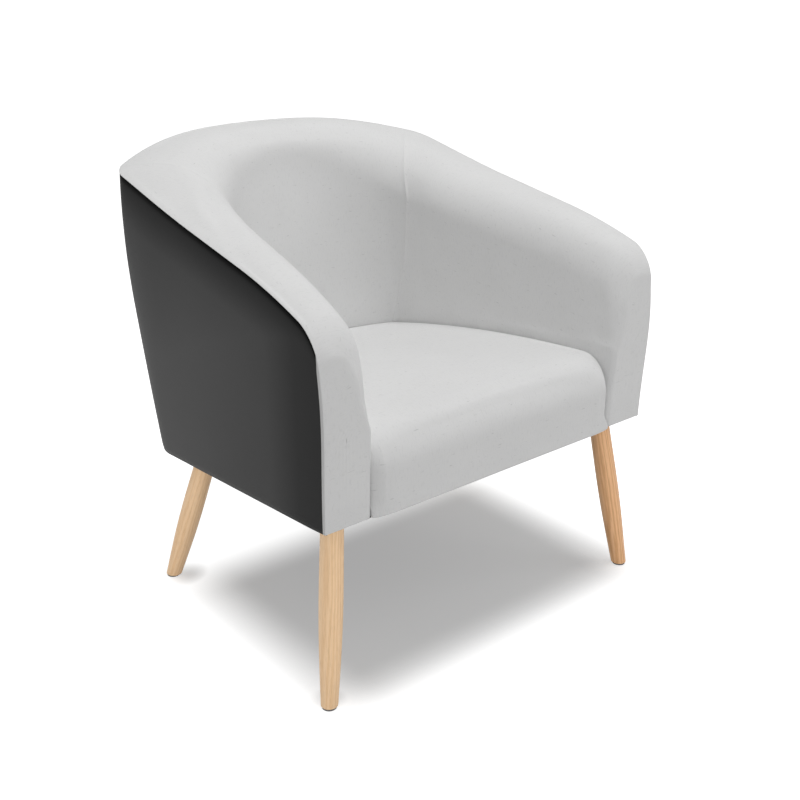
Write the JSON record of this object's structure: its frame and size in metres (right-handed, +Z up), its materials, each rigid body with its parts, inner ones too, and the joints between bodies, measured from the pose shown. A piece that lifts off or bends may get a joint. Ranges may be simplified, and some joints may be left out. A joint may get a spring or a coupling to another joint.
{
  "type": "upholstered armchair",
  "caption": "Low tub armchair with a padded light fabric inside, smooth dark outer shell and splayed turned wooden legs, for sitting in lounges and waiting rooms.",
  "frame": {"origin": "on the floor, under the middle of the chair's overall box", "axes": "+Z up, -Y out of the front of the seat, +X to the right of someone facing the chair, as left and right in the node names are meant"},
  "size_m": [0.6876, 0.705, 0.7596],
  "materials": {
    "light_fabric": "woven, matt",
    "dark_leathercloth": "smooth, satin",
    "foam": "open-cell foam",
    "hardboard": "raw",
    "frame_wood": "raw",
    "webbing": "woven elastic",
    "dust_fabric": "non-woven, matt",
    "leg_wood": "clear lacquer, satin",
    "plate_steel": "black, satin",
    "fastener_steel": "zinc plated",
    "glide_plastic": "moulded"
  },
  "bodies": {
    "root": {"arm_cover_left": "light_fabric", "arm_cover_right": "light_fabric", "back_cover": "light_fabric", "seat_cover": "light_fabric", "arm_foam_left": "foam", "arm_foam_right": "foam", "back_foam": "foam", "seat_foam": "foam", "outer_cover_left": "dark_leathercloth", "outer_cover_right": "dark_leathercloth", "outer_cover_back": "dark_leathercloth", "side_board_left": "hardboard", "side_board_right": "hardboard", "back_board": "hardboard", "arm_panel_left": "frame_wood", "arm_panel_right": "frame_wood", "back_post_left": "frame_wood", "back_post_right": "frame_wood", "back_top_rail": "frame_wood", "back_lower_rail": "frame_wood", "seat_rail_front": "frame_wood", "seat_rail_rear": "frame_wood", "seat_rail_left": "frame_wood", "seat_rail_right": "frame_wood", "leg_blocks": "frame_wood", "back_webbing": "webbing", "seat_webbing_lengthwise": "webbing", "seat_webbing_crosswise": "webbing", "dust_cover": "dust_fabric", "leg_plates": "plate_steel", "hanger_bolts": "fastener_steel", "plate_screws": "fastener_steel", "frame_screws": "fastener_steel", "leg_front_left": "leg_wood", "leg_front_right": "leg_wood", "leg_rear_left": "leg_wood", "leg_rear_right": "leg_wood", "glides": "glide_plastic", "glide_nails": "fastener_steel"}
  },
  "joints": []
}
